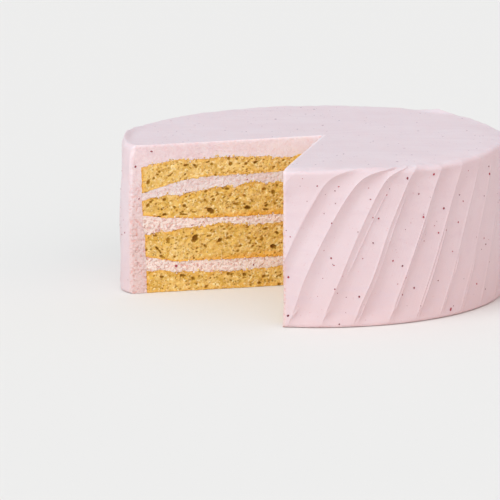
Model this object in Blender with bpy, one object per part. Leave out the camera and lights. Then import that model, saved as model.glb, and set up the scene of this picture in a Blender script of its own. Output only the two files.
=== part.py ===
"""A round layer cake with one slice taken out.

Four sponge layers and three buttercream fillings stand inside a buttercream coat.
The coat covers the side and the top. Its side is drawn with slanting palette knife
strokes, which leave shallow scallops with sharp ridges between them. The slice is
cut from a little past the middle out to the rim, so both cut faces show every layer.

Units are metres, +Z is up, and the cake's axis is the Z axis with its base at Z = 0.
The missing slice lies towards -X and -Y.
"""

import math

import bmesh
import bpy
from mathutils import Vector, noise

# The whole cake. It stands a little taller towards +X, and TOP_LEAN is that slope.
CAKE_RADIUS = 0.120
CAKE_HEIGHT = 0.0934
TOP_LEAN = 0.016
FIT_GAP = 0.0003

# The missing slice: where its point is, and the directions of its two cuts, in
# degrees anticlockwise from +X.
SLICE_POINT = (0.0053, -0.0005)
CUT_DIRECTIONS = (195.6, 258.9)
SLICE_REACH = 0.2

# The knife strokes round the side. Each lies between two ridges. The front ridges
# have their own directions at the base, in degrees, and the rest are evenly spread.
STROKE_COUNT = 38
FRONT_RIDGES = (-105.5, -97.4, -87.2, -79.0, -68.7, -60.1, -51.5, -43.5, -33.5, -24.0)
STROKE_DEPTH = 0.0018
STROKE_DEEPEST = 0.34
STROKE_LEAN = 0.30
STROKE_CURL = 0.16
BACK_CURL = 0.03
CURL_CENTRE = math.radians(-106)
CURL_SPREAD = math.radians(20)
COLUMNS_IN_STROKE = (0.0, 0.12, 0.36, 0.70)
SIDE_ROWS = 11

# Beside the first cut the coat bulges a little and then rounds in to the cut, and the
# strokes there are smeared out.
BULGE_HEIGHT = 0.0009
BULGE_DIRECTION = math.radians(191)
BULGE_SPREAD = math.radians(6)
CORNER_DEPTH = 0.0049
CORNER_DIRECTION = math.radians(197)
CORNER_SPAN = math.radians(6.5)
SMEAR = 0.8
SMEAR_SPREAD = math.radians(14)

# The rim has sunk a little at the front right.
DROOP_DEPTH = 0.0034
DROOP_DIRECTION = math.radians(-52)
DROOP_SPREAD = math.radians(19)
DROOP_START = 0.090

# The coat's edges.
RIM_RADIUS = 0.0032
RIM_ROWS = 4
BASE_CHAMFER = 0.0009
TOP_RINGS = (0.91, 0.79, 0.46)
TOP_WAVE = 0.0005

# What is inside the coat. The layers stand a little to one side of the middle.
CORE_RADIUS = 0.1080
CORE_CENTRE = (0.0013, 0.0005)
CORE_FLARE = 0.022
CORE_COLUMNS = 44
CORE_RINGS = (0.30, 0.66, 0.88)
CORE_WAVE = 0.0006
WAVE_LENGTH = 0.034

# The level of each boundary inside the cake, from the base up: its height at the
# middle, its height at the edge, and how late it bends down or up on the way out.
LEVELS = (
    ("sponge_1", 0.0116, 0.0142, 5),
    ("filling_1", 0.0187, 0.0230, 7),
    ("sponge_2", 0.0407, 0.0368, 5),
    ("filling_2", 0.0454, 0.0492, 6),
    ("sponge_3", 0.0660, 0.0594, 3),
    ("filling_3", 0.0724, 0.0642, 4.5),
    ("sponge_4", 0.0830, 0.0797, 9),
)

SPONGE_COLOUR = (0.76, 0.46, 0.11, 1.0)
BUTTERCREAM_COLOUR = (0.83, 0.62, 0.62, 1.0)
FILLING_COLOUR = (0.83, 0.60, 0.56, 1.0)


def clear_scene():
    for old in list(bpy.data.objects):
        bpy.data.objects.remove(old)


def food_material(name, colour, roughness):
    material = bpy.data.materials.new(name)
    material.use_nodes = True
    shader = material.node_tree.nodes["Principled BSDF"]
    shader.inputs["Base Color"].default_value = colour
    shader.inputs["Roughness"].default_value = roughness
    shader.inputs["Metallic"].default_value = 0.0
    return material


def object_from(name, mesh_data, material=None):
    mesh = bpy.data.meshes.new(name)
    mesh_data.to_mesh(mesh)
    mesh_data.free()
    made = bpy.data.objects.new(name, mesh)
    bpy.context.scene.collection.objects.link(made)
    if material:
        mesh.materials.append(material)
    return made


def bridge(mesh_data, lower, upper):
    """Quads between two closed rings with the same number of points."""
    count = len(lower)
    for i in range(count):
        j = (i + 1) % count
        mesh_data.faces.new((lower[i], lower[j], upper[j], upper[i]))


def close_with_fan(mesh_data, ring, point, facing_up):
    centre = mesh_data.verts.new(point)
    count = len(ring)
    for i in range(count):
        j = (i + 1) % count
        corners = (ring[i], ring[j], centre) if facing_up else (ring[j], ring[i], centre)
        mesh_data.faces.new(corners)


def wave(x, y, seed, height):
    """A slow, smooth unevenness, the same each time."""
    where = Vector((x / WAVE_LENGTH, y / WAVE_LENGTH, 7.3 * seed))
    return height * noise.noise(where)


def leaned(x, z):
    """A height z once the cake's lean towards +X is added, none at the base."""
    return z * (1 + TOP_LEAN * x / CAKE_HEIGHT)


def level_height(index, x, y):
    """The height of boundary number index above the point x, y."""
    _, middle, edge, lateness = LEVELS[index]
    out = math.hypot(x - CORE_CENTRE[0], y - CORE_CENTRE[1])
    share = min(1.0, out / CORE_RADIUS)
    height = middle + (edge - middle) * share**lateness
    return leaned(x, height) + wave(x, y, index + 1, CORE_WAVE)


def nearness(angle, centre, spread):
    """1 at the centre direction, falling off smoothly to 0 away from it."""
    away = math.remainder(angle - centre, math.tau)
    return math.exp(-((away / spread) ** 2))


def settled(x, y, z):
    """A height z with the lean, and with the sunken rim at the front right."""
    out = (math.hypot(x, y) - DROOP_START) / (CAKE_RADIUS - DROOP_START)
    out = min(1.0, max(0.0, out))
    sunk = DROOP_DEPTH * out**2 * nearness(math.atan2(y, x), DROOP_DIRECTION, DROOP_SPREAD)
    return leaned(x, z) - sunk * (z / CAKE_HEIGHT) ** 6


def corner_shape(angle, share):
    """How far the coat stands out beside the first cut, negative where it rounds in."""
    bulge = BULGE_HEIGHT * nearness(angle, BULGE_DIRECTION, BULGE_SPREAD) * (1 - share**6)
    away = abs(math.remainder(angle - CORNER_DIRECTION, math.tau))
    near = max(0.0, 1 - away / CORNER_SPAN)
    return bulge - CORNER_DEPTH * near**1.6


def ridge_starts():
    """The direction of every ridge at the base, then the first one again a turn on."""
    gaps = STROKE_COUNT - len(FRONT_RIDGES) + 1
    step = (FRONT_RIDGES[0] + 360 - FRONT_RIDGES[-1]) / gaps
    rest = [FRONT_RIDGES[-1] + step * number for number in range(1, gaps + 1)]
    return [math.radians(degrees) for degrees in (*FRONT_RIDGES, *rest)]


def stroke_shift(share, angle):
    """How far round a stroke has travelled at this share of the height, in radians."""
    curl = BACK_CURL + STROKE_CURL * nearness(angle, CURL_CENTRE, CURL_SPREAD)
    return STROKE_LEAN * share + curl * share**8


def stroke_depth(along, share, index):
    """How far the scallop lies inside its two ridges. along runs 0 to 1 across it."""
    if along < STROKE_DEEPEST:
        bowl = math.sin(0.5 * math.pi * along / STROKE_DEEPEST)
    else:
        bowl = math.cos(0.5 * math.pi * (along - STROKE_DEEPEST) / (1 - STROKE_DEEPEST))
    uneven = 0.75 + 0.35 * math.sin(2.4 * index + 1.0)
    fade = min(1.0, 0.35 + 4 * share)
    return STROKE_DEPTH * bowl * uneven * fade


def side_ring(z, inset):
    """The points of the coat's outline at height z, moved in by inset."""
    share = z / CAKE_HEIGHT
    ridges = ridge_starts()
    points = []
    for index in range(STROKE_COUNT):
        for along in COLUMNS_IN_STROKE:
            start = ridges[index] + along * (ridges[index + 1] - ridges[index])
            angle = start + stroke_shift(share, start)
            left = 1 - SMEAR * nearness(angle, CORNER_DIRECTION, SMEAR_SPREAD)
            depth = left * stroke_depth(along, share, index)
            radius = CAKE_RADIUS - inset - depth + corner_shape(angle, share)
            x, y = radius * math.cos(angle), radius * math.sin(angle)
            points.append((x, y, settled(x, y, z)))
    return points


def coat_rings():
    """The coat's outer rings, from the base chamfer up the side and over the rim."""
    rings = [side_ring(0.0, BASE_CHAMFER)]
    rim_start = CAKE_HEIGHT - RIM_RADIUS
    for row in range(SIDE_ROWS):
        share = row / (SIDE_ROWS - 1)
        rings.append(side_ring(BASE_CHAMFER + (rim_start - BASE_CHAMFER) * share, 0.0))
    for row in range(1, RIM_ROWS + 1):
        turn = 0.5 * math.pi * row / RIM_ROWS
        height = rim_start + RIM_RADIUS * math.sin(turn)
        rings.append(side_ring(height, RIM_RADIUS * (1 - math.cos(turn))))
    return rings


def top_height(x, y):
    return settled(x, y, CAKE_HEIGHT) + wave(x, y, 12, TOP_WAVE)


def coat_body():
    """The whole coat as if solid: side, rim and top."""
    mesh_data = bmesh.new()
    rings = [[mesh_data.verts.new(p) for p in ring] for ring in coat_rings()]
    rim = rings[-1]
    for share in TOP_RINGS:
        spots = [(edge.co.x * share, edge.co.y * share) for edge in rim]
        rings.append([mesh_data.verts.new((x, y, top_height(x, y))) for x, y in spots])
    for lower, upper in zip(rings, rings[1:]):
        bridge(mesh_data, lower, upper)
    close_with_fan(mesh_data, rings[0], (0, 0, 0), False)
    close_with_fan(mesh_data, rings[-1], (0, 0, top_height(0, 0)), True)
    return mesh_data


def core_reach(angle, height_of, clearance):
    """How far from its centre the core meets the coat on one of its boundaries."""
    x = CORE_CENTRE[0] + CORE_RADIUS * math.cos(angle)
    y = CORE_CENTRE[1] + CORE_RADIUS * math.sin(angle)
    return CORE_RADIUS + CORE_FLARE * height_of(x, y) - clearance


def core_boundary(mesh_data, height_of, clearance):
    """A boundary's rings of points from the inside out, the last against the coat."""
    rings = []
    for share in CORE_RINGS + (1.0,):
        ring = []
        for column in range(CORE_COLUMNS):
            angle = math.tau * column / CORE_COLUMNS
            reach = CORE_RADIUS * share
            if share == 1.0:
                reach = core_reach(angle, height_of, clearance)
            x = CORE_CENTRE[0] + reach * math.cos(angle)
            y = CORE_CENTRE[1] + reach * math.sin(angle)
            ring.append(mesh_data.verts.new((x, y, height_of(x, y))))
        rings.append(ring)
    return rings


def core_slab(low_of, high_of, clearance):
    """A disc of the core between two boundaries."""
    mesh_data = bmesh.new()
    low = core_boundary(mesh_data, low_of, clearance)
    high = core_boundary(mesh_data, high_of, clearance)
    for inner, outer in zip(high, high[1:]):
        bridge(mesh_data, outer, inner)
    for inner, outer in zip(low, low[1:]):
        bridge(mesh_data, inner, outer)
    bridge(mesh_data, low[-1], high[-1])
    x, y = CORE_CENTRE
    close_with_fan(mesh_data, high[0], (x, y, high_of(x, y)), True)
    close_with_fan(mesh_data, low[0], (x, y, low_of(x, y)), False)
    return mesh_data


def slice_cutter():
    """The wedge of the missing slice, taller than the cake and reaching past its rim."""
    mesh_data = bmesh.new()
    middle = sum(CUT_DIRECTIONS) / 2
    corners = [SLICE_POINT]
    for degrees in (CUT_DIRECTIONS[0], middle, CUT_DIRECTIONS[1]):
        turn = math.radians(degrees)
        x = SLICE_POINT[0] + SLICE_REACH * math.cos(turn)
        y = SLICE_POINT[1] + SLICE_REACH * math.sin(turn)
        corners.append((x, y))
    low, high = -0.25 * CAKE_HEIGHT, 1.25 * CAKE_HEIGHT
    face = mesh_data.faces.new([mesh_data.verts.new((x, y, low)) for x, y in corners])
    raised = bmesh.ops.extrude_face_region(mesh_data, geom=[face])
    moved = [v for v in raised["geom"] if isinstance(v, bmesh.types.BMVert)]
    bmesh.ops.translate(mesh_data, verts=moved, vec=(0, 0, high - low))
    bmesh.ops.recalc_face_normals(mesh_data, faces=mesh_data.faces)
    return mesh_data


def hide_cutter(cutter):
    cutter.hide_render = True
    cutter.display_type = "WIRE"


def take_away(solid, cutter, name):
    cut = solid.modifiers.new(name, "BOOLEAN")
    cut.operation = "DIFFERENCE"
    cut.solver = "EXACT"
    cut.object = cutter


def build_core(slice_shape):
    """The sponge layers and the fillings between them, from the base up."""
    sponge = food_material("sponge", SPONGE_COLOUR, 0.85)
    filling = food_material("filling", FILLING_COLOUR, 0.5)
    for index, (name, *_) in enumerate(LEVELS):
        def low_of(x, y, below=index - 1):
            return 0.0 if below < 0 else level_height(below, x, y) + FIT_GAP / 2

        def high_of(x, y, above=index):
            return level_height(above, x, y) - FIT_GAP / 2

        material = sponge if name.startswith("sponge") else filling
        layer = object_from(name, core_slab(low_of, high_of, FIT_GAP / 2), material)
        take_away(layer, slice_shape, "slice")


def build_coat(slice_shape):
    """The buttercream coat, hollowed for the core and open where the slice was."""
    def low_of(x, y):
        return -0.25 * CAKE_HEIGHT

    def high_of(x, y):
        return level_height(len(LEVELS) - 1, x, y) + FIT_GAP / 2

    hollow = object_from("core_space", core_slab(low_of, high_of, -FIT_GAP / 2))
    hide_cutter(hollow)
    coat = object_from(
        "frosting_coat", coat_body(), food_material("buttercream", BUTTERCREAM_COLOUR, 0.5)
    )
    take_away(coat, hollow, "core")
    take_away(coat, slice_shape, "slice")
    coat.data.shade_smooth()
    coat.data.set_sharp_from_angle(angle=math.radians(30))


def main():
    clear_scene()
    slice_shape = object_from("slice_shape", slice_cutter())
    hide_cutter(slice_shape)
    build_core(slice_shape)
    build_coat(slice_shape)


main()
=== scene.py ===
import math
import random

import bmesh
import bpy
import numpy as np
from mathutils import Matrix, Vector


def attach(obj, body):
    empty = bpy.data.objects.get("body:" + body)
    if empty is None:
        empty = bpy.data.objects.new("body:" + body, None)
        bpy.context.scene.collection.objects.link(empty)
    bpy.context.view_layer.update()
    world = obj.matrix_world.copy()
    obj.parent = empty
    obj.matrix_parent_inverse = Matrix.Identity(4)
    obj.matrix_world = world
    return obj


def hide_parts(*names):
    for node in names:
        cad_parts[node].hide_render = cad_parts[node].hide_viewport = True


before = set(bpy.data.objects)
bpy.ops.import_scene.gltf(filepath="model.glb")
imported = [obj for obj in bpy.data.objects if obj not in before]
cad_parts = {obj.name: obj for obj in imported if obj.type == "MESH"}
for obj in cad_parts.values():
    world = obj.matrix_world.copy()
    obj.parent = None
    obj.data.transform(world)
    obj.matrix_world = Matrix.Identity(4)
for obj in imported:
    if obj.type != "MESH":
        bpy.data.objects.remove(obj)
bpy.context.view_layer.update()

# The layer cake with one slice taken out, dressed for its picture. Every piece keeps
# the frame of the solids it stands for: metres, +Z up, the cake's axis on the Z axis.

MM = 0.001
RANDOM_SEED = 11

# The whole cake, as in the part's source. It stands a little taller towards +X.
CAKE_RADIUS = 120.0 * MM
CAKE_HEIGHT = 93.4 * MM
TOP_LEAN = 0.016

# The missing slice: its point, and the directions of its two cuts, anticlockwise from +X.
SLICE_POINT = np.array((5.3, -0.5)) * MM
CUTS = (math.radians(195.6), math.radians(258.9))
CUT_NORMALS = (
    np.array((-math.sin(CUTS[0]), math.cos(CUTS[0]), 0)),
    np.array((math.sin(CUTS[1]), -math.cos(CUTS[1]), 0)),
)

# The knife strokes round the side. Each lies between two ridges, and the front ridges
# have their own directions at the base, in degrees, and their own strengths.
STROKE_COUNT = 38
FRONT_RIDGES = (-105.5, -97.4, -88.1, -79.0, -68.7, -60.1, -51.5, -43.5, -33.5, -24.0)
FRONT_STRENGTH = (0.95, 1.10, 1.05, 1.35, 0.95, 0.72, 0.42, 0.36, 0.32, 0.36)
STROKE_DEPTH = 2.1 * MM
STROKE_DEEPEST = 0.42
STROKE_LEAN = 0.30
STROKE_CURL = 0.09
STROKE_SWEEP = 0.15
CURL_CENTRE = math.radians(-99)
CURL_SPREAD = math.radians(15)
LIP_HEIGHT = 0.34 * MM

# Most strokes have a second thin lip beside their ridge: how far across the stroke it is
# at the base and at the rim, how strong it is, and the shares of the height it starts
# and ends at.
LEDGE_HEIGHT = 0.62 * MM
FRONT_LEDGES = {
    0: (0.10, 0.10, 0.0, 0.0, 0.9),
    1: (0.10, 0.16, 0.0, 0.1, 0.6),
    2: (0.07, 0.42, 0.9, 0.30, 0.9),
    3: (0.14, 0.18, 1.6, 0.0, 0.85),
    4: (0.08, 0.13, 1.2, 0.0, 0.7),
    5: (0.09, 0.12, 1.5, 0.0, 0.65),
    6: (0.08, 0.10, 1.4, 0.0, 0.42),
    7: (0.08, 0.10, 1.5, 0.0, 0.38),
    8: (0.10, 0.16, 0.8, 0.35, 0.8),
    9: (0.08, 0.10, 1.3, 0.0, 0.35),
}

# The columns of points across each stroke, before, round and after that second lip.
BEFORE_LEDGE = (0.0, 0.012, 0.035)
ROUND_LEDGE = (-0.045, -0.022, 0.0, 0.020, 0.050)
AFTER_LEDGE = (0.12, 0.26, 0.40, 0.54, 0.67, 0.79, 0.89, 0.96, 0.988)

# Beside the first cut the coat bulges a little and then rounds in to the cut, the
# strokes there are smeared out, and the side leans in towards the rim.
BULGE_HEIGHT = 0.9 * MM
BULGE_DIRECTION = math.radians(191)
BULGE_SPREAD = math.radians(6)
CORNER_DEPTH = 4.0 * MM
CORNER_DIRECTION = math.radians(197)
CORNER_SPAN = math.radians(6.5)
CORNER_TOP = 0.5
SMEAR = 0.85
SMEAR_SPREAD = math.radians(14)
TAPER_DEPTH = 1.4 * MM
TAPER_DIRECTION = math.radians(182)
TAPER_SPREAD = math.radians(12)

# Where the rim has sunk a little, at the front right and at the back right: direction
# and spread in degrees, and how far. The sinking starts this far from the middle.
DROOPS = ((-52, 19, 3.4 * MM), (15, 18, 3.0 * MM))
DROOP_START = 90 * MM

# Where the rim stands higher or lower than the rest: direction and spread in degrees,
# and how much higher. The first is beside the first cut, the second beside the other.
RIM_STRETCHES = (
    (177, 13, 3.2 * MM),
    (-95, 9, -1.6 * MM),
    (-46, 2.5, 0.9 * MM),
    (46, 4.5, 2.2 * MM),
)

# The coat's edges and its rows of points.
RIM_RADIUS = 3.2 * MM
RIM_ROWS = 8
RIM_CREST = 0.45 * MM
RIM_SHARPENED = 0.6
RIM_FADE = 0.75
FRONT_FADE = 0.55
KEPT_AT_RIM = 5
BASE_ROUND = 1.3 * MM
SIDE_ROWS = 54
TOP_RINGS = 26

# The layers inside the coat.
CORE_RADIUS = 108.0 * MM
CORE_CENTRE = np.array((1.3, 0.5)) * MM
CORE_FLARE = 0.022
CORE_STEP = 1.2 * MM
STEP_HEIGHT = 40 * MM
RING_COUNT = 280
ROW_STEP = 0.4 * MM
LAYER_GAP = 0.03 * MM

# The level of each boundary inside the cake, from the base up, in millimetres: the piece
# below it, its height at the middle and at the edge, how late it bends on the way out,
# how ragged it is, and its bumps near the first cut as (distance out, height, width).
LEVELS = (
    ("sponge_1", 11.6, 14.2, 5, 0.70, ((68, -0.6, 14), (26, 0.8, 7), (48, -0.5, 5))),
    ("filling_1", 18.7, 23.0, 7, 0.20, ((92, -0.8, 6),)),
    ("sponge_2", 40.7, 36.8, 5, 0.75, ((64, 1.0, 9), (42, -0.9, 8), (25, -0.5, 8))),
    ("filling_2", 45.4, 49.2, 6, 0.22, ()),
    ("sponge_3", 66.0, 59.4, 3, 0.75, ((90, -2.2, 5.5), (56, -0.9, 4), (45, 0.6, 5))),
    ("filling_3", 72.4, 64.2, 4.5, 0.38, ((80, 0.5, 10), (42, -0.6, 8), (112, -0.6, 4))),
    ("sponge_4", 83.0, 79.7, 9, 0.75, ((100, 0.9, 22), (62, 0.5, 14), (22, -1.8, 16))),
)
BUMP_SPREAD = math.radians(20)

# How deep the pores are against the depths given for them.
PORE_DEPTH = 0.75

# The bigger pores that show on the first cut face: sponge layer from the base up,
# distance out from the slice's point, height, half length, half width, tilt, depth.
SEEN_PORES = (
    (4, 86.0, 78.6, 2.0, 0.9, -0.3, 1.5),
    (4, 58.4, 78.0, 1.3, 1.3, 0.2, 1.7),
    (4, 48.6, 77.6, 1.3, 1.0, 0.0, 1.4),
    (4, 42.8, 78.3, 1.5, 0.9, -0.3, 1.9),
    (4, 25.0, 78.9, 1.0, 0.8, -0.2, 1.6),
    (4, 103.1, 75.0, 0.9, 0.8, 0.3, 1.1),
    (4, 106.4, 71.1, 1.1, 0.8, 0.0, 1.1),
    (4, 110.1, 68.8, 1.2, 1.7, 0.1, 1.4),
    (4, 96.2, 72.7, 0.9, 0.8, 0.0, 1.0),
    (3, 100.0, 57.8, 1.2, 0.9, 0.0, 1.3),
    (3, 110.2, 54.7, 1.3, 1.2, 0.2, 1.3),
    (3, 93.8, 52.6, 1.2, 1.0, 0.0, 1.4),
    (3, 87.5, 53.1, 1.4, 1.1, 0.3, 1.5),
    (3, 74.1, 61.4, 1.0, 0.8, -0.3, 1.2),
    (3, 74.9, 56.2, 1.4, 1.2, 0.5, 1.4),
    (3, 69.2, 56.4, 1.1, 1.0, 0.0, 1.2),
    (3, 70.9, 49.5, 2.4, 1.6, 0.5, 2.3),
    (3, 55.1, 52.8, 2.0, 0.9, 0.2, 1.2),
    (3, 48.1, 50.4, 2.3, 1.2, 0.1, 2.6),
    (3, 37.3, 61.4, 1.6, 1.4, 0.2, 1.7),
    (3, 31.0, 59.1, 1.3, 1.6, 0.0, 1.3),
    (3, 36.4, 48.6, 2.6, 0.5, 0.1, 1.6),
    (3, 103.7, 47.0, 2.0, 0.7, -0.3, 1.8),
    (3, 100.0, 48.4, 1.2, 0.8, 0.0, 1.7),
    (3, 88.1, 47.9, 1.9, 0.7, 0.0, 1.7),
    (2, 106.6, 35.5, 0.9, 0.7, 0.0, 1.1),
    (2, 97.7, 32.4, 1.7, 2.2, 0.3, 1.1),
    (2, 81.0, 32.8, 1.8, 2.5, 0.4, 2.6),
    (2, 65.3, 30.7, 1.6, 1.2, 0.3, 2.1),
    (2, 59.7, 31.3, 1.8, 1.4, 0.2, 0.9),
    (2, 70.5, 37.4, 1.0, 0.8, 0.0, 1.1),
    (2, 36.0, 36.4, 1.9, 1.0, -0.2, 1.5),
    (2, 28.9, 33.4, 1.4, 0.8, 0.5, 1.8),
    (2, 38.5, 29.8, 1.2, 1.2, 0.0, 1.1),
    (2, 31.2, 25.0, 2.2, 1.6, 0.2, 2.4),
    (2, 104.0, 26.6, 3.2, 0.8, 0.9, 2.0),
    (2, 85.8, 23.2, 0.9, 0.7, 0.0, 1.0),
    (1, 88.7, 9.6, 1.9, 0.9, 0.1, 1.6),
    (1, 59.8, 9.0, 1.2, 0.9, 0.3, 1.3),
    (1, 49.8, 8.1, 1.3, 1.0, 0.0, 1.4),
    (1, 36.8, 6.5, 1.8, 1.2, 0.2, 1.3),
    (1, 40.2, 2.4, 1.5, 0.8, 0.3, 1.4),
    (1, 96.6, 4.4, 0.9, 0.7, 0.2, 1.0),
    (1, 29.7, 8.2, 0.9, 0.7, 0.0, 1.1),
)

# The fruit flecks that show most at the front: direction in degrees, height and size.
SEEN_FLECK_SCALE = 0.95
SEEN_SIDE_FLECKS = (
    (-89, 84, 0.75), (-83, 83, 0.55), (-85, 62, 0.60), (-95, 56, 0.50), (-74, 75, 0.65),
    (-85, 41, 0.60), (-76, 40, 0.50), (-84, 23, 0.55), (-77, 18, 0.70), (-97, 7, 0.75),
    (-63, 87, 0.85), (-54, 88, 0.70), (-50, 65, 0.80), (-52, 51, 0.65), (-64, 34, 0.60),
    (-60, 20, 0.75), (-64, 17, 0.60), (-47, 4, 1.25), (-35, 15, 0.70), (-30, 37, 0.55),
    (-31, 41, 0.55), (-29, 79, 0.90), (-44, 55, 0.60), (-42, 67, 0.60), (-69, 77, 0.55),
)
# The same on the first cut face: distance out, height and size.
SEEN_CUT_FLECKS = (
    (108, 88, 0.70), (118, 79, 0.75), (116, 59, 0.60), (59, 83, 0.55), (48, 68, 0.60),
    (83, 41, 0.50), (93, 16, 0.85), (44, 14, 0.65), (87, 63, 0.45), (76, 43, 0.40),
)

# Colours of each food as they show on screen. Most are its own colour; some carry painted light
# and shade, as said beside them.
COAT_PALE = (224, 202, 205)
COAT_DEEP = (222, 198, 201)
COAT_LOW = (220, 191, 191)
COAT_STREAK = (220, 196, 200)
# CUT_PALE and CUT_DEEP are paler than the outside's colours of the same buttercream: painted light
# on the cut faces.
CUT_PALE = (236, 217, 219)
CUT_DEEP = (231, 206, 210)
CUT_LOW = (226, 196, 191)
# CUT_INNER_PAINTED_LIGHT paints the cut buttercream paler towards the slice's point: painted light
# in the shaded notch.
CUT_INNER_PAINTED_LIGHT = (250, 236, 236)
# CREAM_PIT_PAINTED_SHADE is painted shade in the pits of cut buttercream.
CREAM_PIT_PAINTED_SHADE = (230, 162, 152)
FILLING_PALE = (237, 223, 221)
FILLING_DEEP = (231, 208, 206)
# FILLING_LOW_PAINTED_LIGHT paints the lower fillings brighter and warmer: painted light against
# the shade between the layers.
FILLING_LOW_PAINTED_LIGHT = (249, 226, 216)
SPECK = (205, 130, 135)
CRUMB_PALE = (238, 198, 122)
CRUMB_DEEP = (230, 182, 88)
CRUMB_LIGHT = (250, 226, 172)
CRUMB_SHADE = (200, 152, 56)
CRUST_ORANGE = (242, 168, 56)
# The pores' colours are painted shade in them, olive and then brown as they deepen.
PORE_OLIVE_PAINTED_SHADE = (176, 130, 46)
PORE_BROWN_PAINTED_SHADE = (146, 100, 32)
FLECK_DARK = (110, 32, 44)
FLECK_RED = (205, 72, 88)
DEEP_FLECK = (150, 112, 132)


# How each surface takes the light.
CREAM_SURFACE = {
    "Roughness": 0.55,
    "Specular IOR Level": 0.30,
    "Subsurface Weight": 0.20,
    "Subsurface Radius": (1.0, 0.65, 0.55),
    "Subsurface Scale": 1.6 * MM,
}
SPONGE_SURFACE = {
    "Roughness": 0.85,
    "Specular IOR Level": 0.15,
    "Subsurface Weight": 0.08,
    "Subsurface Radius": (1.0, 0.5, 0.2),
    "Subsurface Scale": 1.0 * MM,
}
FLECK_SURFACE = {"Roughness": 0.5}
FLOOR_SURFACE = {"Roughness": 0.9, "Specular IOR Level": 0.1}

# How many flecks are scattered over the side and the top, and how many crumbs beside a
# boundary with the sponge below it and one with the sponge above it.
SIDE_FLECKS = 330
TOP_FLECKS = 230
CRUMBS_ABOVE_SPONGE = 46
CRUMBS_BELOW_SPONGE = 16

# The floor's two tones and the light from all round, as the shaders take them.
FLOOR_TONES = ((0.797, 0.730, 0.698, 1), (0.801, 0.734, 0.702, 1))
WARM_SIDES = (1.03, 0.83, 0.81, 1)
COOL_ABOVE = (1.10, 1.29, 1.39, 1)
WORLD_STRENGTH = 0.56


# Repeatable noise

def lattice_value(ix, iy, seed):
    """A repeatable number from -1 to 1 for each whole-number place."""
    mixed = (ix * 374761393 + iy * 668265263 + seed * 1446651) & 0xFFFFFFFF
    mixed = ((mixed ^ (mixed >> 13)) * 1274126177) & 0xFFFFFFFF
    mixed = mixed ^ (mixed >> 16)
    return mixed / 2147483647.5 - 1.0


def noise(x, y, seed):
    """Smooth noise from -1 to 1 over a plane, with features about one unit across."""
    x, y = np.asarray(x, float), np.asarray(y, float)
    ix, iy = np.floor(x).astype(np.int64), np.floor(y).astype(np.int64)
    fx, fy = x - ix, y - iy
    fx, fy = fx * fx * (3 - 2 * fx), fy * fy * (3 - 2 * fy)
    near = lattice_value(ix, iy, seed) * (1 - fx) + lattice_value(ix + 1, iy, seed) * fx
    far = lattice_value(ix, iy + 1, seed) * (1 - fx) + lattice_value(ix + 1, iy + 1, seed) * fx
    return near * (1 - fy) + far * fy


def smoothstep(value):
    value = np.clip(value, 0, 1)
    return value * value * (3 - 2 * value)


def bell(value, width):
    """1 where the value is 0, falling off smoothly to 0 on both sides."""
    return np.exp(-((value / width) ** 2))


def angle_between(angle, other):
    """The turn from other to angle, from -pi to pi."""
    return (np.asarray(angle) - other + math.pi) % math.tau - math.pi


def nearness(angle, centre, spread):
    """1 at the centre direction, falling off smoothly to 0 away from it."""
    return bell(angle_between(angle, centre), spread)


# The coat's outside

def leaned(x, z):
    """A height z once the cake's lean towards +X is added, none at the base."""
    return z * (1 + TOP_LEAN * x / CAKE_HEIGHT)


def settled(x, y, z):
    """A height z with the lean, and with the sunken stretches of rim."""
    out = np.clip((np.hypot(x, y) - DROOP_START) / (CAKE_RADIUS - DROOP_START), 0, 1)
    turn = np.arctan2(y, x)
    sunk = 0
    for direction, spread, depth in DROOPS:
        sunk = sunk + depth * nearness(turn, math.radians(direction), math.radians(spread))
    return leaned(x, z) - sunk * out**2 * (z / CAKE_HEIGHT) ** 6


def corner_shape(angle, share):
    """How far the coat stands out beside the first cut, negative where it rounds in."""
    bulge = BULGE_HEIGHT * nearness(angle, BULGE_DIRECTION, BULGE_SPREAD) * (1 - share**6)
    near = np.clip(1 - np.abs(angle_between(angle, CORNER_DIRECTION)) / CORNER_SPAN, 0, 1)
    taper = TAPER_DEPTH * smoothstep((share - 0.45) / 0.45)
    taper = taper * nearness(angle, TAPER_DIRECTION, TAPER_SPREAD)
    deeper = 1 + CORNER_TOP * smoothstep((share - 0.87) / 0.13)
    return bulge - taper - CORNER_DEPTH * deeper * near**1.6


def ridge_starts():
    """The direction of every ridge at the base, then the first one again a turn on."""
    gaps = STROKE_COUNT - len(FRONT_RIDGES) + 1
    step = (FRONT_RIDGES[0] + 360 - FRONT_RIDGES[-1]) / gaps
    rest = [FRONT_RIDGES[-1] + step * number for number in range(1, gaps + 1)]
    return np.radians((*FRONT_RIDGES, *rest))


def stroke_table():
    """Each stroke's strength, then its second lip: places, strength, start and end."""
    rows = []
    for stroke in range(STROKE_COUNT):
        random_part = [lattice_value(stroke, part, 5) for part in range(5)]
        strength = 0.85 + 0.25 * random_part[0]
        low, high = 0.12 + 0.04 * random_part[1], 0.22 + 0.10 * random_part[2]
        lip, begins = 0.55 + 0.45 * random_part[3], 0.2 + 0.2 * random_part[4]
        ends = begins + 0.55
        if stroke < len(FRONT_STRENGTH):
            strength = FRONT_STRENGTH[stroke]
        if stroke in FRONT_LEDGES:
            low, high, lip, begins, ends = FRONT_LEDGES[stroke]
        rows.append((strength, low, high, lip, begins, ends))
    return np.array(rows).T


RIDGES = ridge_starts()
STRENGTH, LEDGE_LOW, LEDGE_TOP, LEDGE_STRENGTH, LEDGE_BEGINS, LEDGE_ENDS = stroke_table()


def stroke_shift(share, start):
    """How far round a stroke has travelled at this share of the height, in radians."""
    front = nearness(start, CURL_CENTRE, CURL_SPREAD)
    curl = STROKE_CURL * front * share**4 + STROKE_SWEEP * front * share**40
    wander = 0.010 * noise(start * 6.1, share * 3, 31) * np.minimum(1, share * 4)
    return STROKE_LEAN * share + curl + wander


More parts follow.
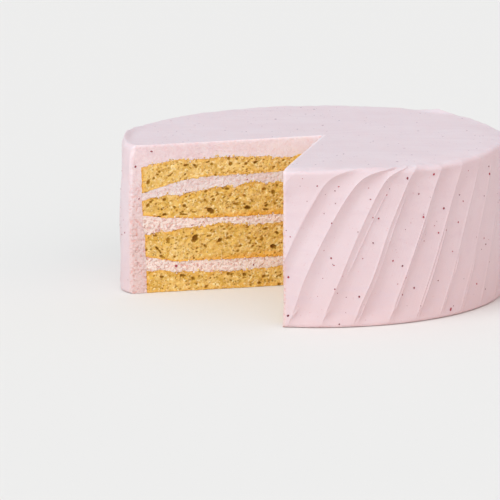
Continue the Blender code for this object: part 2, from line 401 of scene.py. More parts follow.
def ledge_place(stroke, share):
    """How far across each stroke its second lip is."""
    place = LEDGE_LOW[stroke] + (LEDGE_TOP[stroke] - LEDGE_LOW[stroke]) * share
    return np.maximum(0.085, place * smoothstep(0.4 + share / 0.15))


def stroke_columns(share):
    """How far across each stroke its columns of points lie, at this share of the height."""
    ledge = ledge_place(np.arange(STROKE_COUNT), share)[:, None]
    before = np.broadcast_to(BEFORE_LEDGE, (STROKE_COUNT, len(BEFORE_LEDGE)))
    last = ledge + ROUND_LEDGE[-1]
    after = last + (1 - last) * np.array(AFTER_LEDGE)
    return np.concatenate((before, ledge + np.array(ROUND_LEDGE), after), axis=1)


def ledge_relief(stroke, across, share):
    """How far the second lip stands out: steep on its left, falling slowly on its right."""
    away = across - ledge_place(stroke, share)
    shape = np.where(away < 0, bell(away, 0.022), bell(away, 0.045))
    waver = 0.7 + 0.5 * noise(share * 5, stroke * 7.3, 22)
    begun = smoothstep((share - LEDGE_BEGINS[stroke]) / 0.10)
    ended = smoothstep((LEDGE_ENDS[stroke] - share) / 0.12)
    return LEDGE_HEIGHT * shape * waver * begun * ended * LEDGE_STRENGTH[stroke]


def hook_relief(stroke, across, share):
    """The small curl of buttercream where each stroke starts, just above the base."""
    height = 0.070 + 0.02 * lattice_value(stroke, 3, 24)
    size = 1.5 * MM * (0.7 + 0.3 * lattice_value(stroke, 4, 24))
    return size * bell(share - height - 0.35 * across, 0.012) * bell(across - 0.05, 0.06)


def stroke_relief(stroke, across, share):
    """How far inside the ridges the side lies. across runs 0 to 1 over one stroke."""
    deepest = STROKE_DEEPEST + 0.08 * lattice_value(stroke, 6, 5)
    falling = np.clip(across / deepest, 0, 1)
    rising = np.clip((1 - across) / (1 - deepest), 0, 1)
    side = np.where(across < deepest, falling, rising)
    bowl = 0.25 * side + 0.75 * np.sin(0.5 * math.pi * side)
    strength = STRENGTH[stroke] * (1 + 0.22 * noise(share * 2.2, stroke * 1.0, 7))
    foot = smoothstep(0.12 + share / 0.11)
    faded = RIM_FADE * smoothstep((share - 0.80) / 0.17)
    faded = np.where(stroke < KEPT_AT_RIM, FRONT_FADE * smoothstep((share - 0.90) / 0.09), faded)
    lip = bell(across, 0.035) + bell(1 - across, 0.02)
    lip = lip * (0.5 + 0.5 * noise(share * 5, stroke * 1.0, 8))
    proud = ledge_relief(stroke, across, share) + hook_relief(stroke, across, share)
    return (STROKE_DEPTH * bowl * strength - LIP_HEIGHT * lip) * foot * (1 - faded) - proud


def side_radius(stroke, across, share, angle):
    smeared = 1 - SMEAR * nearness(angle, CORNER_DIRECTION, SMEAR_SPREAD)
    relief = stroke_relief(stroke, across, share) * smeared
    ripple = 0.16 * MM * noise(angle * 9, share * 4, 9)
    inside = 0.3 * MM + np.maximum(relief, -0.25 * MM)
    return CAKE_RADIUS - inside + corner_shape(angle, share) + ripple


def stroke_at(angle, share):
    """The stroke at a place on the side, and how far across it the place is."""
    start = np.asarray(angle, float)
    for _ in range(6):
        start = angle - stroke_shift(share, start)
    start = RIDGES[0] + (start - RIDGES[0]) % math.tau
    stroke = np.clip(np.searchsorted(RIDGES, start, side="right") - 1, 0, STROKE_COUNT - 1)
    return stroke, (start - RIDGES[stroke]) / (RIDGES[stroke + 1] - RIDGES[stroke])


def top_height(x, y):
    broad = 0.14 * MM * noise(x / 0.05, y / 0.03, 12)
    fine = 0.07 * MM * noise(x / 0.024, y / 0.004, 13)
    return settled(x, y, CAKE_HEIGHT) + broad + fine


def coat_rows():
    """The height and inset of each row of the side, from the base up and over the rim."""
    rows = [(0.0, BASE_ROUND), (0.2 * BASE_ROUND, 0.4 * BASE_ROUND), (BASE_ROUND, 0.0)]
    rim_start = CAKE_HEIGHT - RIM_RADIUS
    for row in range(1, SIDE_ROWS + 1):
        up = (row / SIDE_ROWS) ** 1.15
        rows.append((BASE_ROUND + (rim_start - BASE_ROUND) * up, 0.0))
    for row in range(1, RIM_ROWS + 1):
        turn = 0.5 * math.pi * row / RIM_ROWS
        height = rim_start + RIM_RADIUS * math.sin(turn)
        rows.append((height, RIM_RADIUS * (1 - math.cos(turn))))
    return rows


def coat_points():
    """Rings of points on the coat's outside, from the base edge to the top's middle."""
    column_count = len(BEFORE_LEDGE) + len(ROUND_LEDGE) + len(AFTER_LEDGE)
    stroke = np.repeat(np.arange(STROKE_COUNT), column_count)
    rings = []
    for height, inset in coat_rows():
        share = height / CAKE_HEIGHT
        across = stroke_columns(share).ravel()
        start = RIDGES[stroke] + across * (RIDGES[stroke + 1] - RIDGES[stroke])
        angle = start + stroke_shift(share, start)
        tight = 1 - RIM_SHARPENED * nearness(angle, TAPER_DIRECTION, TAPER_SPREAD)
        radius = side_radius(stroke, across, share, angle) - inset * tight
        x, y = radius * np.cos(angle), radius * np.sin(angle)
        rings.append(np.stack((x, y, settled(x, y, height)), axis=1))
    crest = rim_crest(stroke, across, angle)
    for step in range(RIM_ROWS):
        rings[-1 - step][:, 2] += crest * ((RIM_ROWS - step) / RIM_ROWS) ** 1.5
    return rings + top_rings(rings[-1], crest)


def rim_crest(stroke, across, angle):
    """How much higher the rim is: the small lips that the strokes leave where they break
    over it, and the stretches that stand higher or lower."""
    ridge = bell(np.minimum(across, 1 - across), 0.12)
    front = 0.2 + 0.8 * nearness(angle, math.radians(-75), math.radians(32))
    lips = RIM_CREST * ridge * front * (0.6 + 0.4 * lattice_value(stroke, 7, 14))
    uneven = 0.4 * MM * noise(angle * 14, 0.5, 15) + 0.4 * MM * noise(angle * 6, 0.5, 16)
    uneven += 0.35 * MM * noise(angle * 36, 0.5, 17)
    for direction, spread, rise in RIM_STRETCHES:
        uneven += rise * nearness(angle, math.radians(direction), math.radians(spread))
    return lips + uneven


def top_rings(rim, crest):
    """Rings from just inside the rim to the top's middle, with the ridges fading out."""
    rim_radius = np.hypot(rim[:, 0], rim[:, 1])
    rim_angle = np.arctan2(rim[:, 1], rim[:, 0])
    smooth_radius = CAKE_RADIUS - RIM_RADIUS - 1.2 * MM + corner_shape(rim_angle, 1.0)
    rings = []
    for step in range(1, TOP_RINGS + 1):
        out = 1 - (step / TOP_RINGS) ** 1.8 * 0.985
        settle = smoothstep((1 - out) / 0.10)
        radius = out * (rim_radius * (1 - settle) + smooth_radius * settle)
        x, y = radius * np.cos(rim_angle), radius * np.sin(rim_angle)
        fade = bell((1 - out) * CAKE_RADIUS, 2.5 * MM)
        rings.append(np.stack((x, y, top_height(x, y) + crest * fade), axis=1))
    return rings


# Meshes

def signed_volume(points, faces):
    total = 0.0
    for size in (3, 4):
        group = np.array([f for f in faces if len(f) == size])
        for last in range(2, size if len(group) else 0):
            a, b, c = points[group[:, 0]], points[group[:, last - 1]], points[group[:, last]]
            total += np.einsum("ij,ij->i", a, np.cross(b, c)).sum()
    return total / 6


def mesh_object(name, points, faces):
    """A mesh object with its faces turned outwards."""
    faces = [tuple(f) for f in faces]
    if signed_volume(points, faces) < 0:
        faces = [f[::-1] for f in faces]
    mesh = bpy.data.meshes.new(name)
    mesh.from_pydata(points.tolist(), [], faces)
    mesh.update()
    made = bpy.data.objects.new(name, mesh)
    bpy.context.scene.collection.objects.link(made)
    return made


def ring_solid(name, rings, low_centre, high_centre):
    """A closed solid from a stack of rings, fanned shut at both ends."""
    count = len(rings[0])
    points = np.concatenate(rings + [np.array([low_centre, high_centre])])
    here = np.arange(count)
    after = (here + 1) % count
    faces = []
    for row in range(len(rings) - 1):
        low, high = row * count, (row + 1) * count
        faces += np.stack((low + here, low + after, high + after, high + here), 1).tolist()
    last = (len(rings) - 1) * count
    centre = len(rings) * count
    faces += [(centre, int(j), int(i)) for i, j in zip(here, after)]
    faces += [(centre + 1, last + int(i), last + int(j)) for i, j in zip(here, after)]
    return mesh_object(name, points, faces)


def grid_faces(number, turned):
    """Quads over a grid of point numbers, or triangles where two corners are one point."""
    corners = np.stack((number[:-1, :-1], number[1:, :-1], number[1:, 1:], number[:-1, 1:]), -1)
    corners = corners.reshape(-1, 4)
    if turned:
        corners = corners[:, ::-1]
    pinched = any((corners[:, i] == corners[:, i - 1]).any() for i in range(4))
    if not pinched:
        return corners.tolist()
    return [tuple(dict.fromkeys(face)) for face in corners.tolist()]


def lattice_solid(name, points, values=None):
    """A closed solid from a lattice of points: rings out from the slice's point, then
    columns round it, then rows up. The first ring of each row is one point."""
    rings, columns, rows = points.shape[:3]
    shown = np.zeros((rings, columns, rows), bool)
    shown[:, 0] = shown[:, -1] = True
    shown[:, :, 0] = shown[:, :, -1] = True
    shown[-1] = True
    shown[0] = False
    shown[0, 0] = True
    number = np.cumsum(shown.ravel()).reshape(shown.shape) - 1
    number[0] = number[0, :1]
    faces = grid_faces(number[:, :, 0], True) + grid_faces(number[:, :, -1], False)
    faces += grid_faces(number[:, 0], False) + grid_faces(number[:, -1], True)
    faces += grid_faces(number[-1], False)
    made = mesh_object(name, points[shown], faces)
    for label, value in (values or {}).items():
        layer = made.data.attributes.new(label, "FLOAT", "POINT")
        layer.data.foreach_set("value", value[shown].astype(np.float32))
    return made


# The layers' boundaries

def polar(distance, direction):
    """The place this far from the slice's point."""
    x = SLICE_POINT[0] + distance * np.cos(direction)
    y = SLICE_POINT[1] + distance * np.sin(direction)
    return x, y


def level_height(index, x, y):
    """The height of a boundary between two pieces above each place."""
    if index < 0:
        return np.zeros_like(x)
    _, middle, edge, lateness, ragged, bumps = LEVELS[index]
    share = np.hypot(x - CORE_CENTRE[0], y - CORE_CENTRE[1]) / CORE_RADIUS
    height = middle + (edge - middle) * np.minimum(share, 1.0) ** lateness
    out = np.hypot(x - SLICE_POINT[0], y - SLICE_POINT[1]) / MM
    turn = np.arctan2(y - SLICE_POINT[1], x - SLICE_POINT[0])
    beside = nearness(turn, CUTS[0], BUMP_SPREAD)
    for distance, rise, width in bumps:
        height = height + rise * beside * bell(out - distance, width)
    for size, rough, seed in ((3.1 * MM, 0.9, 40), (1.3 * MM, 0.8, 60)):
        height = height + rough * ragged * noise(x / size, y / size, seed + index)
    return leaned(x, height * MM)


def core_reach(direction, height):
    """How far the core's side is from the slice's point, at this height."""
    offset = SLICE_POINT - CORE_CENTRE
    radius = CORE_RADIUS + CORE_FLARE * height
    radius = radius + CORE_STEP * smoothstep((height - STEP_HEIGHT) / (10 * MM) + 0.5)
    radius = radius + 0.35 * MM * noise(direction * 30, height / (4 * MM), 71)
    radius = radius + 0.25 * MM * noise(direction * 70, height / (1.3 * MM), 72)
    along = offset[0] * np.cos(direction) + offset[1] * np.sin(direction)
    return -along + np.sqrt(along**2 - offset @ offset + radius**2)


def spread_columns(first, last):
    """Directions from one cut round to the other, close together beside the cuts."""
    beside = np.radians((0, 1.2, 3, 6, 10, 16))
    sign = 1 if last > first else -1
    start, stop = first + sign * beside[-1], last - sign * beside[-1]
    between = np.linspace(start, stop, max(3, int(abs(stop - start) / math.radians(11))))
    return np.concatenate((first + sign * beside[:-1], between, last - sign * beside[-2::-1]))


# The cut faces

def pitted(height):
    """How pitted the cut buttercream is, most near the base and least near the top."""
    return 0.3 + 0.7 * smoothstep((84 * MM - height) / (40 * MM))


def cream_face(out, height, side):
    """How far cut buttercream stands proud of the cut plane."""
    x, z = out / MM, height / MM
    proud = 0.16 * noise(x / 9, z / 7, 80 + side)
    rough = 0.16 * noise(x / 1.5, z / 1.3, 82 + side) + 0.12 * noise(x / 0.8, z / 0.8, 84 + side)
    pits = -0.45 * smoothstep((noise(x / 1.3, z / 1.2, 86 + side) - 0.35) / 0.3)
    return (proud + (rough + pits) * pitted(height)) * MM


def random_pores(generator, low, high, count, smallest, largest):
    """Pores as (distance out, height, half length, half width, tilt, depth) in mm."""
    pores = []
    for _ in range(count):
        size = smallest + (largest - smallest) * generator.random() ** 2.2
        pores.append((
            generator.uniform(3, 112),
            generator.uniform(low, high),
            size * generator.uniform(0.9, 1.7),
            size * generator.uniform(0.6, 1.0),
            generator.uniform(-0.8, 0.8),
            size * generator.uniform(0.9, 1.5),
        ))
    return pores


def pore_depth(out, height, pores, seed):
    """How deep the pores are at each place on a cut face, in metres."""
    x, z = out / MM, height / MM
    ragged = 0.5 * noise(x / 0.9, z / 0.9, seed) + 0.35 * noise(x / 1.9, z / 1.9, seed + 5)
    depth = np.zeros_like(x)
    for centre_x, centre_z, half_long, half_wide, tilt, deep in pores:
        dx, dz = x - centre_x, z - centre_z
        along = (dx * math.cos(tilt) + dz * math.sin(tilt)) / half_long
        over = (dz * math.cos(tilt) - dx * math.sin(tilt)) / half_wide
        inside = np.clip(1 - along**2 - over**2 + ragged, 0, 1)
        inside = inside * (along**2 + over**2 < 1.8)
        depth = np.maximum(depth, deep * inside**0.7)
    return PORE_DEPTH * depth * MM


def crumb_face(out, height, side, layer):
    """How far the crumb stands proud of the cut plane, without its pores."""
    x, z = out / MM, height / MM
    seed = 100 + 10 * layer + side
    proud = 0.20 * noise(x / 12, z / 8, seed) + 0.34 * noise(x / 2.6, z / 2.2, seed + 2)
    proud = proud + 0.26 * noise(x / 1.4, z / 1.25, seed + 4)
    proud = proud + 0.08 * noise(x / 0.8, z / 0.8, seed + 6)
    return proud * MM


def sponge_pores(layer, side, low, high):
    """Every pore of one sponge layer's cut face."""
    generator = random.Random(RANDOM_SEED + 7 * layer + 101 * side)
    span = 108 * (high - low)
    pores = random_pores(generator, low, high, int(span * 0.15), 0.34, 0.75)
    pores += random_pores(generator, low, high, int(span * 0.028), 0.60, 1.15)
    if side == 0:
        pores += [seen[1:] for seen in SEEN_PORES if seen[0] == layer]
    else:
        pores += random_pores(generator, low, high, int(span * 0.006), 1.0, 2.2)
    return pores


def layer_lattice(index, columns):
    """The lattice of one layer, and how far along it each point is from its edges."""
    thickness = (max(LEVELS[index][1:3]) - (min(LEVELS[index - 1][1:3]) if index else 0)) * MM
    rows = max(8, int(thickness / ROW_STEP))
    rise = np.linspace(0, 1, rows)
    edge_low = LEVELS[index - 1][2] * MM if index else 0.0
    edge = edge_low + (LEVELS[index][2] * MM - edge_low) * rise
    out = np.linspace(0, 1, RING_COUNT)
    reach = core_reach(columns[:, None], edge[None, :]) - LAYER_GAP
    distance = out[:, None, None] * reach[None]
    x, y = polar(distance, columns[None, :, None])
    low = level_height(index - 1, x, y) + (LAYER_GAP if index else 0)
    high = level_height(index, x, y) - LAYER_GAP
    z = low + (high - low) * rise
    room = np.minimum(np.minimum(z - low, high - z), reach[None] - distance)
    return np.stack((x, y, z), -1), distance, room


def baked_crust(name, points, distance):
    """How baked the crumb is: most along the bottom of two layers and round the outside,
    and a little along every top."""
    above_base = points[..., 2] - points[:, :, :1, 2]
    below_top = points[:, :, -1:, 2] - points[..., 2]
    from_side = distance[-1:] - distance
    inner = smoothstep((95 * MM - distance) / (60 * MM))
    thick = (0.9 + 2.1 * inner) * MM
    strength = {"sponge_2": 1.0, "sponge_3": 1.0, "sponge_4": 0.4, "sponge_1": 0.35}.get(name, 0)
    bottom = strength * bell(above_base, thick)
    top = 0.42 * bell(below_top, 1.8 * MM)
    outside = 0.8 * bell(from_side, 1.1 * MM)
    return np.maximum(np.maximum(bottom, top), outside)


def layer_piece(index, material):
    """One sponge layer or filling, with its two cut faces worked over."""
    name = LEVELS[index][0]
    spongy = name.startswith("sponge")
    columns = spread_columns(CUTS[0], CUTS[1] - math.tau)
    points, distance, room = layer_lattice(index, columns)
    pore_painted_shade = np.zeros(distance.shape)
    for side, column in ((0, 0), (1, -1)):
        out, z = distance[:, column], points[:, column, :, 2]
        if spongy:
            layer = index // 2 + 1
            pores = sponge_pores(layer, side, z.min() / MM, z.max() / MM)
            depth = pore_depth(out, z, pores, 300 + index + side)
            proud = crumb_face(out, z, side, layer) - depth
            # The pores' depth, kept as the mask for the painted shade in them.
            pore_painted_shade[:, column] = np.clip(depth / (1.3 * MM), 0, 1)
        else:
            proud = cream_face(out, z, side)
        limit = 0.009 * out + 4 * np.maximum(room[:, column], 0)
        proud = np.clip(proud, -limit, 0.5 * MM) * smoothstep(out / (3 * MM))
        points[:, column] += proud[..., None] * CUT_NORMALS[side]
    crust = baked_crust(name, points, distance)
    made = lattice_solid(name + "_cut", points, {"pore_painted_shade": pore_painted_shade, "crust": crust})
    made.data.materials.append(material)
    made.data.shade_smooth()
    made.data.set_sharp_from_angle(angle=math.radians(75))
    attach(made, "root")
    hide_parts(name)
    return made


# The coat

def hollow_tool():
    """The space inside the coat, running on past both cuts into the missing slice."""
    past = math.radians(12)
    columns = spread_columns(CUTS[0], CUTS[1] - math.tau)
    before = CUTS[0] + np.array((past, past / 3, past / 10))
    after = CUTS[1] - math.tau - np.array((past / 10, past / 3, past))
    columns = np.concatenate((before, columns, after))
    rise = np.linspace(0, 1, 110)
    low = -8 * MM
    edge = low + (LEVELS[-1][2] * MM - low) * rise
    reach = core_reach(columns[:, None], np.maximum(edge, 0)[None, :])
    distance = np.linspace(0, 1, RING_COUNT)[:, None, None] * reach[None]
    x, y = polar(distance, columns[None, :, None])
    high = level_height(len(LEVELS) - 1, x, y)
    return lattice_solid("hollow_tool", np.stack((x, y, low + (high - low) * rise), -1))


def slice_tool():
    """The missing slice, with the marks that the knife leaves on its two faces."""
    columns = spread_columns(CUTS[0], CUTS[1])
    out = np.concatenate((np.arange(0, 104, 0.5), np.arange(104, 126, 0.4), (140, 170, 200))) * MM
    high_start = LEVELS[-1][2] * MM - 3 * MM
    rows = np.concatenate((
        [-30 * MM, -6 * MM],
        np.arange(-1 * MM, high_start, 0.55 * MM),
        np.arange(high_start, CAKE_HEIGHT + 4 * MM, 0.42 * MM),
        [CAKE_HEIGHT + 12 * MM, CAKE_HEIGHT + 40 * MM],
    ))
    shape = (len(out), len(columns), len(rows))
    distance = np.broadcast_to(out[:, None, None], shape)
    x, y = polar(distance, columns[None, :, None])
    z = np.broadcast_to(rows[None, None, :], shape)
    points = np.stack((x, y, z), -1)
    for side, column in ((0, 0), (1, -1)):
        face_x, face_y = points[:, column, :, 0], points[:, column, :, 1]
        face_out, face_z = distance[:, column], z[:, column]
        proud = cream_face(face_out, face_z, side) - soft_edge(face_x, face_y, face_z)
        proud = proud * smoothstep(face_out / (3 * MM))
        points[:, column] += proud[..., None] * CUT_NORMALS[side]
    return lattice_solid("slice_tool", points)


def soft_edge(x, y, z):
    """How much the knife rounds off the cut face's edges, near the side and the top."""
    angle = np.arctan2(y, x)
    top = settled(x, y, CAKE_HEIGHT)
    share = np.clip(z / top, 0, 1)
    stroke, across = stroke_at(angle, share)
    to_side = side_radius(stroke, across, share, angle) - np.hypot(x, y)
    to_top = top - z
    width = 1.3 * MM
    rounded = 0
    for distance, strength in ((to_side, 0.55), (to_top, 0.35)):
        near = np.maximum(width - distance, 0)
        curved = np.minimum(near, width) ** 2 / (2 * width)
        beyond = np.maximum(near - width, 0)
        rounded = rounded + strength * np.minimum(curved * 2 + beyond, 2.5 * MM)
    return rounded


def carve(solid, tools):
    """Takes each tool away from the solid, and clears the tools."""
    for tool in tools:
        cut = solid.modifiers.new(tool.name, "BOOLEAN")
        cut.operation = "DIFFERENCE"
        cut.solver = "MANIFOLD"
        cut.object = tool
    bpy.context.view_layer.update()
    evaluated = solid.evaluated_get(bpy.context.evaluated_depsgraph_get())
    carved = bpy.data.meshes.new_from_object(evaluated)
    solid.modifiers.clear()
    solid.data = carved
    for tool in tools:
        bpy.data.objects.remove(tool)


def coat_piece(material):
    middle = (0.0, 0.0, float(top_height(np.zeros(1), np.zeros(1))[0]))
    coat = ring_solid("buttercream_coat", coat_points(), (0.0, 0.0, 0.0), middle)
    carve(coat, [hollow_tool(), slice_tool()])
    coat.data.materials.clear()
    coat.data.materials.append(material)
    coat.data.shade_smooth()
    coat.data.set_sharp_from_angle(angle=math.radians(50))
    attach(coat, "root")
    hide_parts("frosting_coat")
    return coat


# Materials

class Nodes:
    """A short way to build the nodes of a material or of the world."""

    def __init__(self, owner):
        owner.use_nodes = True
        self.owner = owner
        self.tree = owner.node_tree
        self.shader = self.tree.nodes.get("Principled BSDF")

    def add(self, kind, inputs=None, **settings):
        node = self.tree.nodes.new(kind)
        for key, value in settings.items():
            setattr(node, key, value)
        for key, value in (inputs or {}).items():
            self.put(node.inputs[key], value)
        return node

    def put(self, socket, value):
        if isinstance(value, bpy.types.NodeSocket):
            self.tree.links.new(value, socket)
        else:
            socket.default_value = value

    def math(self, operation, *values):
        node = self.add("ShaderNodeMath", operation=operation)
        for socket, value in zip(node.inputs, values):
            self.put(socket, value)
        return node.outputs[0]

    def times(self, first, second):
        return self.math("MULTIPLY", first, second)

    def vector(self, operation, *values):
        node = self.add("ShaderNodeVectorMath", operation=operation)
        for socket, value in zip(node.inputs, values):
            self.put(socket, value)
        return node.outputs["Value"] if operation == "DOT_PRODUCT" else node.outputs[0]

    def place(self, shift=0.0, stretch=(1, 1, 1)):
        """The place on the object, moved and stretched so that patterns differ."""
        place = self.add("ShaderNodeTexCoord").outputs["Object"]
        moved = self.vector("ADD", place, (shift, shift, shift))
        return self.vector("MULTIPLY", moved, stretch)

    def noise(self, scale_mm, detail=2.0, roughness=0.5, shift=0.0, stretch=(1, 1, 1)):
        inputs = {"Vector": self.place(shift, stretch), "Scale": 1 / (scale_mm * MM)}
        inputs.update({"Detail": detail, "Roughness": roughness})
        return self.add("ShaderNodeTexNoise", inputs).outputs["Fac"]

    def ramp(self, value, low, high):
        inputs = {"Value": value, "From Min": low, "From Max": high}
        return self.add("ShaderNodeMapRange", inputs).outputs["Result"]

    def mix(self, amount, first, second):
        node = self.add("ShaderNodeMix", data_type="RGBA")
        self.put(node.inputs["Factor"], amount)
        self.put(node.inputs[6], first)
        self.put(node.inputs[7], second)
        return node.outputs[2]

    def tint(self, amount, below, colour):
        """A colour that is given as it shows on screen, laid over another."""
        return self.mix(amount, below, srgb(colour))

    def bump(self, height, strength, distance_mm, normal=None):
        inputs = {"Height": height, "Strength": strength, "Distance": distance_mm * MM}
        if normal:
            inputs["Normal"] = normal
        return self.add("ShaderNodeBump", inputs).outputs["Normal"]

    def finish(self, colour, normal, surface):
        """Joins the colour and the relief to the shader and sets how it takes light."""
        self.put(self.shader.inputs["Base Color"], colour)
        self.put(self.shader.inputs["Normal"], normal)
        for name, value in surface.items():
            self.shader.inputs[name].default_value = value
        return self.owner


def srgb(colour):
    """A colour given as it shows on screen, 0 to 255, for a shader."""
    parts = []
    for value in colour:
        value = value / 255
        parts.append(value / 12.92 if value <= 0.04045 else ((value + 0.055) / 1.055) ** 2.4)
    return (*parts, 1.0)


def cut_depth(nodes):
    """How deep each point lies behind the cut faces, in metres, negative where proud."""
    point = (SLICE_POINT[0], SLICE_POINT[1], 0.0)
    offset = nodes.vector("SUBTRACT", nodes.place(), point)
    first = nodes.vector("DOT_PRODUCT", offset, tuple(CUT_NORMALS[0]))
    second = nodes.vector("DOT_PRODUCT", offset, tuple(CUT_NORMALS[1]))
    return nodes.times(nodes.math("MINIMUM", first, second), -1.0)


def height_of(nodes):
    return nodes.add("ShaderNodeSeparateXYZ", {"Vector": nodes.place()}).outputs["Z"]


def cream_pits(nodes):
    """Small pits in cut buttercream, most near the base, for their bumps and for painted shade in
    them.
    """
    low_down = nodes.ramp(height_of(nodes), 80 * MM, 40 * MM)
    strength = nodes.math("ADD", 0.2, nodes.times(low_down, 0.8))
    pits = nodes.ramp(nodes.noise(1.7, 2, 0.55), 0.52, 0.66)
    return nodes.times(pits, strength)


def buttercream_material():
    """Pale pink buttercream, smooth outside and peachy and grainy where it is cut, with painted
    light on the cut faces and painted shade in their pits.
    """
    nodes = Nodes(bpy.data.materials.new("buttercream"))
    cut = nodes.ramp(cut_depth(nodes), 2.2 * MM, 0.9 * MM)
    broad = nodes.ramp(nodes.noise(22, 3), 0.35, 0.65)
    outside = nodes.tint(broad, srgb(COAT_PALE), COAT_DEEP)
    near_base = nodes.times(nodes.ramp(height_of(nodes), 45 * MM, 5 * MM), 0.6)
    outside = nodes.tint(near_base, outside, COAT_LOW)
    swept = nodes.noise(5, 3, 0.6, 0.4, (0.14, 1, 1))
    outside = nodes.tint(nodes.ramp(swept, 0.50, 0.72), outside, COAT_STREAK)
    # The cut buttercream is given paler colours than the outside: painted light on the cut faces.
    inside = nodes.tint(nodes.ramp(nodes.noise(5, 3), 0.35, 0.65), srgb(CUT_PALE), CUT_DEEP)
    low_down = nodes.times(nodes.ramp(height_of(nodes), 80 * MM, 30 * MM), 0.8)
    inside = nodes.tint(low_down, inside, CUT_LOW)
    pits = cream_pits(nodes)
    point = nodes.vector("SUBTRACT", nodes.place(), (*SLICE_POINT, 0.0))
    away = nodes.add("ShaderNodeVectorMath", {0: point}, operation="LENGTH").outputs["Value"]
    # Painted light: paler towards the slice's point, where the notch shades the cut.
    inner = nodes.times(nodes.ramp(away, 115 * MM, 60 * MM), 0.8)
    inside = nodes.tint(inner, inside, CUT_INNER_PAINTED_LIGHT)
    # Painted shade in the pits.
    inside = nodes.tint(nodes.times(pits, 0.6), inside, CREAM_PIT_PAINTED_SHADE)
    colour = nodes.mix(cut, outside, inside)
    specks = nodes.ramp(nodes.noise(0.9, 1, shift=0.31), 0.70, 0.78)
    colour = nodes.tint(nodes.times(specks, 0.35), colour, SPECK)
    fine = nodes.bump(nodes.noise(0.7, 4), 0.10, 0.3)
    grain = nodes.bump(nodes.noise(0.6, 3, shift=0.2), nodes.times(cut, 0.45), 0.5, fine)
    pitting = nodes.times(nodes.times(pits, cut), -1.0)
    pitted_surface = nodes.bump(pitting, 0.6, 0.4, grain)
    streaks = nodes.bump(stroke_streaks(nodes), 0.16, 0.35, pitted_surface)
    return nodes.finish(colour, nodes.bump(swept, 0.09, 0.8, streaks), CREAM_SURFACE)


def stroke_streaks(nodes):
    """Fine drag lines that follow the knife strokes round the side."""
    parts = nodes.add("ShaderNodeSeparateXYZ", {"Vector": nodes.place()})
    x, y, z = parts.outputs
    angle = nodes.math("ARCTAN2", y, x)
    lean = nodes.times(z, STROKE_LEAN / CAKE_HEIGHT)
    around = nodes.times(nodes.math("SUBTRACT", angle, lean), 120.0)
    up = nodes.times(z, 60.0)
    where = nodes.add("ShaderNodeCombineXYZ", {"X": around, "Y": up}).outputs[0]
    inputs = {"Vector": where, "Scale": 1.0, "Detail": 2.0}
    return nodes.add("ShaderNodeTexNoise", inputs).outputs["Fac"]


def filling_material():
    nodes = Nodes(bpy.data.materials.new("filling"))
    mottle = nodes.ramp(nodes.noise(3, 4), 0.35, 0.65)
    colour = nodes.tint(mottle, srgb(FILLING_PALE), FILLING_DEEP)
    low_down = nodes.ramp(height_of(nodes), 66 * MM, 44 * MM)
    # Painted light: brighter and warmer towards the lower fillings, against the shade between the
    # layers.
    colour = nodes.tint(nodes.times(low_down, 0.8), colour, FILLING_LOW_PAINTED_LIGHT)
    pits = cream_pits(nodes)
    # Painted shade in the pits.
    colour = nodes.tint(nodes.times(pits, 0.70), colour, CREAM_PIT_PAINTED_SHADE)
    specks = nodes.ramp(nodes.noise(0.8, 1, shift=0.31), 0.68, 0.76)
    colour = nodes.tint(nodes.times(specks, 0.6), colour, SPECK)
    grain = nodes.bump(nodes.noise(0.6, 4), 0.55, 0.5)
    pitted_surface = nodes.bump(nodes.times(pits, -1.0), 0.7, 0.5, grain)
    return nodes.finish(colour, pitted_surface, CREAM_SURFACE)


def sponge_material():
    """Golden crumb: pale grains and darker patches, an orange crust, and small holes and pores
    painted olive and brown as painted shade.
    """
    nodes = Nodes(bpy.data.materials.new("sponge"))
    pore_painted_shade = nodes.add("ShaderNodeAttribute", attribute_name="pore_painted_shade").outputs["Fac"]
    crust = nodes.add("ShaderNodeAttribute", attribute_name="crust").outputs["Fac"]
    broad = nodes.ramp(nodes.noise(7, 3), 0.35, 0.65)
    colour = nodes.tint(broad, srgb(CRUMB_PALE), CRUMB_DEEP)
    high_up = nodes.times(nodes.ramp(height_of(nodes), 64 * MM, 74 * MM), 0.12)
    colour = nodes.tint(high_up, colour, CRUMB_LIGHT)
    shade = nodes.ramp(nodes.noise(3.4, 3, 0.6, shift=0.17), 0.48, 0.66)
    colour = nodes.tint(nodes.times(shade, 0.70), colour, CRUMB_SHADE)
    grains = nodes.ramp(nodes.noise(1.8, 3, 0.6), 0.52, 0.68)
    colour = nodes.tint(nodes.times(grains, 0.95), colour, CRUMB_LIGHT)
    cells = nodes.add("ShaderNodeTexVoronoi", {"Vector": nodes.place(), "Scale": 1 / (1.7 * MM)})
    holes = nodes.ramp(cells.outputs["Distance"], 0.36, 0.12)
    holes = nodes.times(holes, nodes.ramp(nodes.noise(3.0, 1), 0.46, 0.58))
    # Small holes: bumped in, and painted olive as painted shade in them.
    colour = nodes.tint(nodes.times(holes, 0.85), colour, PORE_OLIVE_PAINTED_SHADE)
    colour = nodes.tint(nodes.times(crust, 0.75), colour, CRUST_ORANGE)
    # The pores are painted olive and then brown as they deepen: painted shade in them.
    colour = nodes.tint(nodes.ramp(pore_painted_shade, 0.05, 0.45), colour, PORE_OLIVE_PAINTED_SHADE)
    colour = nodes.tint(nodes.ramp(pore_painted_shade, 0.55, 1.0), colour, PORE_BROWN_PAINTED_SHADE)
    rough = nodes.bump(nodes.noise(1.0, 3, 0.55), 0.5, 0.6)
    pitted_surface = nodes.bump(nodes.times(holes, -1.0), 0.6, 0.6, rough)
    return nodes.finish(colour, pitted_surface, SPONGE_SURFACE)


